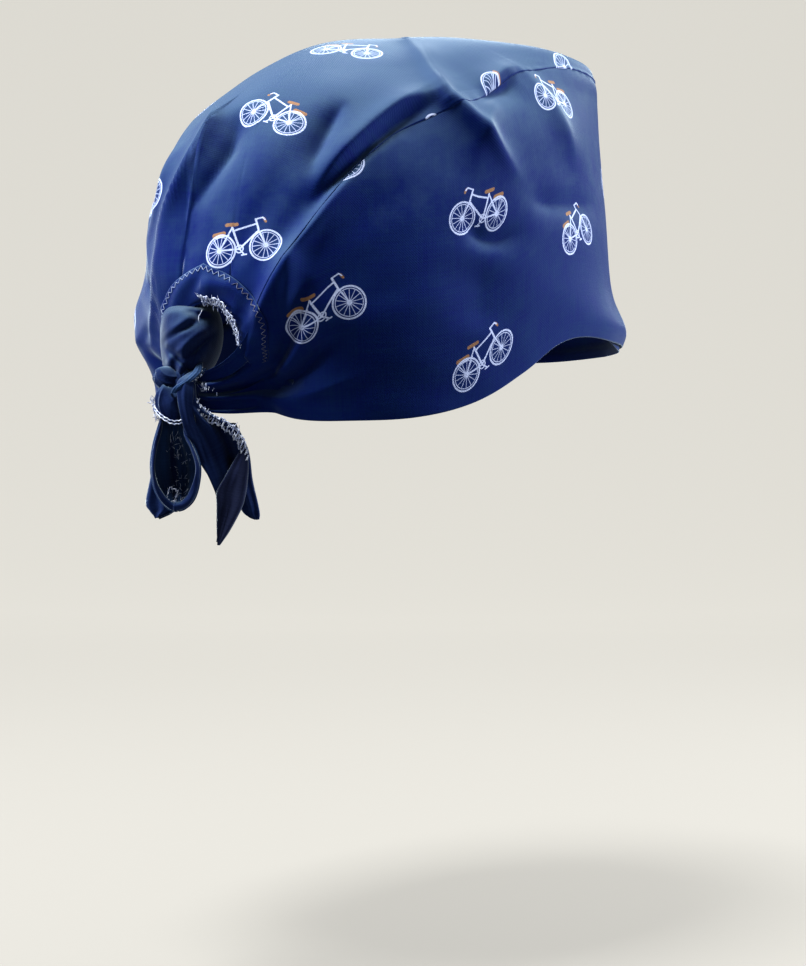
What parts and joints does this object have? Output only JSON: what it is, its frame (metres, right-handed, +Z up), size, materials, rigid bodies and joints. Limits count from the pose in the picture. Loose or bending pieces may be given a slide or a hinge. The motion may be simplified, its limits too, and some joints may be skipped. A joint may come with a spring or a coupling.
{
  "type": "tie-back scrub cap",
  "caption": "Cloth cap that covers a head down to the ears, with a gathered opening at the nape closed by a knotted tie.",
  "frame": {"origin": "centre of the head opening, level with the cap's edge over the brow", "axes": "+Z up, -Y towards the brow, +Y towards the nape and its knot, -X towards the wearer's right ear"},
  "size_m": [0.16, 0.2229, 0.1839],
  "materials": {
    "printed_cotton": "navy plain-weave cotton with a pale printed motif",
    "brow_cotton": "navy plain-weave cotton, unprinted",
    "hem_cotton": "navy cotton with a frayed, overlocked edge in pale thread",
    "tie_cotton": "navy cotton strip, creased and frayed"
  },
  "bodies": {
    "root": {"side_panel": "printed_cotton", "crown_panel": "printed_cotton", "brow_band": "brow_cotton", "arch_hem": "hem_cotton", "gathered_fold": "tie_cotton", "knot": "tie_cotton", "knot_wrap": "tie_cotton", "tail_left": "tie_cotton", "tail_left_under": "tie_cotton", "tail_right": "tie_cotton", "tail_right_under": "tie_cotton"}
  },
  "joints": []
}
